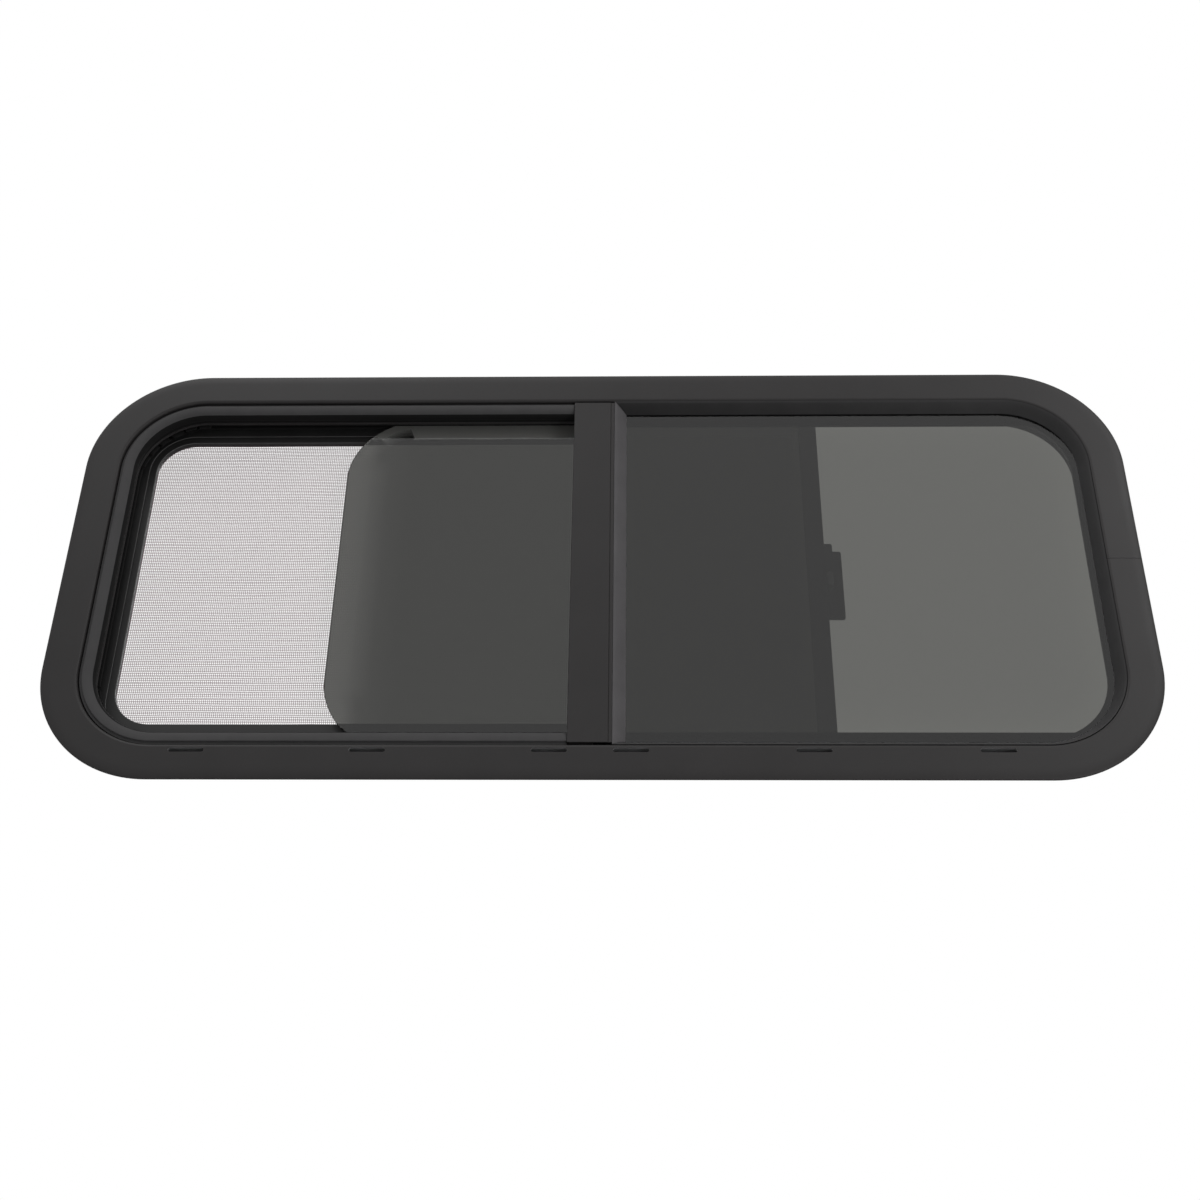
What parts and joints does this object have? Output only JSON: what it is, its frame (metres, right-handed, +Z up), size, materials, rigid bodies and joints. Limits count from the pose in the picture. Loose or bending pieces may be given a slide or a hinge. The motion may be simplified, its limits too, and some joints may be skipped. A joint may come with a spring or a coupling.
{
  "type": "caravan sliding window",
  "caption": "Horizontal sliding window for a caravan wall, with a fixed tinted pane, a sliding tinted sash and an insect screen in a bent aluminium ring.",
  "frame": {"origin": "on the flat back of the flange, in the middle of its lower strip and of the window's width", "axes": "+X along the window to the right as seen from outside, +Y into the vehicle, +Z up"},
  "size_m": [0.955, 0.041, 0.424],
  "materials": {
    "frame_coat": "charcoal powder coat, satin",
    "bare_metal": "mill finish",
    "screen_coat": "black paint, matt",
    "wedge_rubber": "dark grey, matt",
    "trim_rubber": "dark grey, matt",
    "seal_rubber": "dark grey, soft",
    "channel_liner": "black, flocked inside",
    "spline_vinyl": "black, ribbed",
    "pile": "woven pile",
    "tinted_glass": "grey tinted safety glass",
    "screen_weave": "plain woven coated yarn",
    "latch_plastic": "black, fine grain",
    "glide_nylon": "natural nylon",
    "screw_steel": "zinc plated"
  },
  "bodies": {
    "root": {"outer_frame": "frame_coat", "seam_splice": "bare_metal", "mullion": "frame_coat", "mullion_wedge": "wedge_rubber", "mullion_pile": "pile", "mullion_screws": "screw_steel", "fixed_pane": "tinted_glass", "fixed_gasket": "seal_rubber", "glazing_trim": "trim_rubber", "setting_blocks": "seal_rubber", "exterior_seal": "seal_rubber", "sash_channel": "channel_liner", "stop_bumpers": "seal_rubber", "screen_frame": "screen_coat", "screen_mesh": "screen_weave", "screen_spline": "spline_vinyl", "screen_clips": "latch_plastic", "clip_screws": "screw_steel", "screen_tab": "latch_plastic"},
    "sash": {"sash_pane": "tinted_glass", "sash_stile": "frame_coat", "sash_glides": "glide_nylon", "latch_body": "latch_plastic", "latch_tab": "latch_plastic", "latch_bolt": "screw_steel", "latch_screws": "screw_steel"}
  },
  "joints": [
    {"name": "sash_slide", "type": "slide", "parent": "root", "child": "sash", "axis": [1, 0, 0], "range_m": [-0.202, 0.171]}
  ]
}
